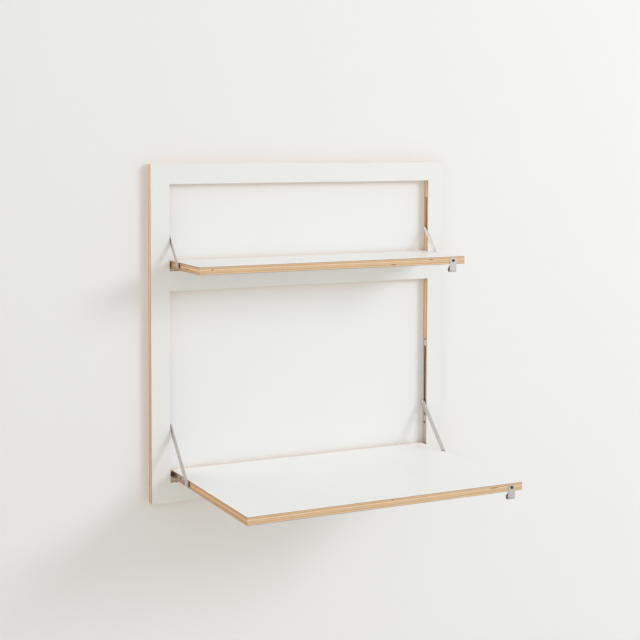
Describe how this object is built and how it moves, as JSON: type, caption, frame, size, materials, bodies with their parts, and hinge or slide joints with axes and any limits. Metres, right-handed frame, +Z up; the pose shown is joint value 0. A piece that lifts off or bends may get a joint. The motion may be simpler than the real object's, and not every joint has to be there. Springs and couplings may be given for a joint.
{
  "type": "secretary desk",
  "caption": "Flat wall-hung plywood frame with two openings, from which a small shelf board and a deeper desk board fold down on steel hinges and sliding struts.",
  "frame": {"origin": "middle of the line between the two wall screws' keyhole entries, in the plane of the frame's back face", "axes": "+Z up, +Y into the wall (the boards fold out towards -Y), +X to the right along the wall"},
  "size_m": [0.8, 0.4458, 0.8],
  "materials": {
    "birch_plywood": "clear-sealed birch plywood edge",
    "white_laminate": "matt high-pressure laminate",
    "stainless_steel": "brushed",
    "dark_screw": "black oxide",
    "dark_nylon": "dark grey nylon",
    "bush_brass": "plain",
    "bumper_rubber": "plain"
  },
  "bodies": {
    "wall_frame": {"frame_core": "birch_plywood", "frame_front_laminate": "white_laminate", "frame_back_laminate": "white_laminate", "guide_rail_left": "stainless_steel", "guide_rail_right": "stainless_steel", "guide_rail_screws": "stainless_steel", "desk_hinge_pins": "stainless_steel", "desk_hinge_spacers": "dark_nylon", "shelf_hinge_pins": "stainless_steel", "shelf_hinge_washers": "dark_nylon", "hanger_plate_left": "stainless_steel", "hanger_plate_right": "stainless_steel", "hanger_screws": "stainless_steel", "wall_bumpers": "bumper_rubber"},
    "desk": {"desk_core": "birch_plywood", "desk_top_laminate": "white_laminate", "desk_bottom_laminate": "white_laminate", "desk_side_plate_left": "stainless_steel", "desk_side_plate_right": "stainless_steel", "desk_plate_screws": "stainless_steel", "desk_pivot_rivets": "stainless_steel", "desk_pivot_washers": "dark_nylon", "desk_pull_loop": "stainless_steel", "desk_pull_screw": "dark_screw"},
    "shelf": {"shelf_core": "birch_plywood", "shelf_top_laminate": "white_laminate", "shelf_bottom_laminate": "white_laminate", "shelf_hinge_bushes": "bush_brass", "shelf_pivot_block_left": "stainless_steel", "shelf_pivot_block_right": "stainless_steel", "shelf_block_screws": "stainless_steel", "shelf_pivot_rivets": "stainless_steel", "shelf_pivot_washers": "dark_nylon", "shelf_pull_loop": "stainless_steel", "shelf_pull_screw": "dark_screw"},
    "desk_strut_left": {"desk_strut_left": "stainless_steel", "desk_strut_rivet_left": "stainless_steel"},
    "desk_strut_right": {"desk_strut_right": "stainless_steel", "desk_strut_rivet_right": "stainless_steel"},
    "shelf_strut_left": {"shelf_strut_left": "stainless_steel", "shelf_strut_rivet_left": "stainless_steel"},
    "shelf_strut_right": {"shelf_strut_right": "stainless_steel", "shelf_strut_rivet_right": "stainless_steel"},
    "desk_slider_left": {"desk_slider_left": "dark_nylon", "desk_slider_pin_left": "stainless_steel"},
    "desk_slider_right": {"desk_slider_right": "dark_nylon", "desk_slider_pin_right": "stainless_steel"},
    "shelf_slider_left": {"shelf_slider_left": "dark_nylon", "shelf_slider_pin_left": "stainless_steel"},
    "shelf_slider_right": {"shelf_slider_right": "dark_nylon", "shelf_slider_pin_right": "stainless_steel"}
  },
  "joints": [
    {"name": "desk_fold", "type": "hinge", "parent": "wall_frame", "child": "desk", "pos_m": [0, -0.009, -0.711], "axis": [-1, 0, 0], "range_deg": [0, 90]},
    {"name": "shelf_fold", "type": "hinge", "parent": "wall_frame", "child": "shelf", "pos_m": [0, -0.009, -0.2125], "axis": [-1, 0, 0], "range_deg": [0, 90]},
    {"name": "desk_strut_left_pivot", "type": "hinge", "parent": "desk", "child": "desk_strut_left", "pos_m": [0, -0.113, -0.711], "axis": [1, 0, 0], "range_deg": [0, 132.37]},
    {"name": "desk_slider_left_slide", "type": "slide", "parent": "wall_frame", "child": "desk_slider_left", "axis": [0, 0, 1], "range_m": [0, 0.14432]},
    {"name": "desk_strut_right_pivot", "type": "hinge", "parent": "desk", "child": "desk_strut_right", "pos_m": [0, -0.113, -0.711], "axis": [1, 0, 0], "range_deg": [0, 132.37]},
    {"name": "desk_slider_right_slide", "type": "slide", "parent": "wall_frame", "child": "desk_slider_right", "axis": [0, 0, 1], "range_m": [0, 0.14432]},
    {"name": "shelf_strut_left_pivot", "type": "hinge", "parent": "shelf", "child": "shelf_strut_left", "pos_m": [0, -0.064, -0.2125], "axis": [1, 0, 0], "range_deg": [0, 130.24]},
    {"name": "shelf_slider_left_slide", "type": "slide", "parent": "wall_frame", "child": "shelf_slider_left", "axis": [0, 0, 1], "range_m": [0, 0.07515]},
    {"name": "shelf_strut_right_pivot", "type": "hinge", "parent": "shelf", "child": "shelf_strut_right", "pos_m": [0, -0.064, -0.2125], "axis": [1, 0, 0], "range_deg": [0, 130.24]},
    {"name": "shelf_slider_right_slide", "type": "slide", "parent": "wall_frame", "child": "shelf_slider_right", "axis": [0, 0, 1], "range_m": [0, 0.07515]}
  ],
  "couplings": [
    {"joint": "desk_strut_left_pivot", "follows": "desk_fold", "ratio": 1.4708},
    {"joint": "desk_slider_left_slide", "follows": "desk_fold", "m_per_rad": 0.091871},
    {"joint": "desk_strut_right_pivot", "follows": "desk_fold", "ratio": 1.4708},
    {"joint": "desk_slider_right_slide", "follows": "desk_fold", "m_per_rad": 0.091871},
    {"joint": "shelf_strut_left_pivot", "follows": "shelf_fold", "ratio": 1.4471},
    {"joint": "shelf_slider_left_slide", "follows": "shelf_fold", "m_per_rad": 0.04784},
    {"joint": "shelf_strut_right_pivot", "follows": "shelf_fold", "ratio": 1.4471},
    {"joint": "shelf_slider_right_slide", "follows": "shelf_fold", "m_per_rad": 0.04784}
  ]
}
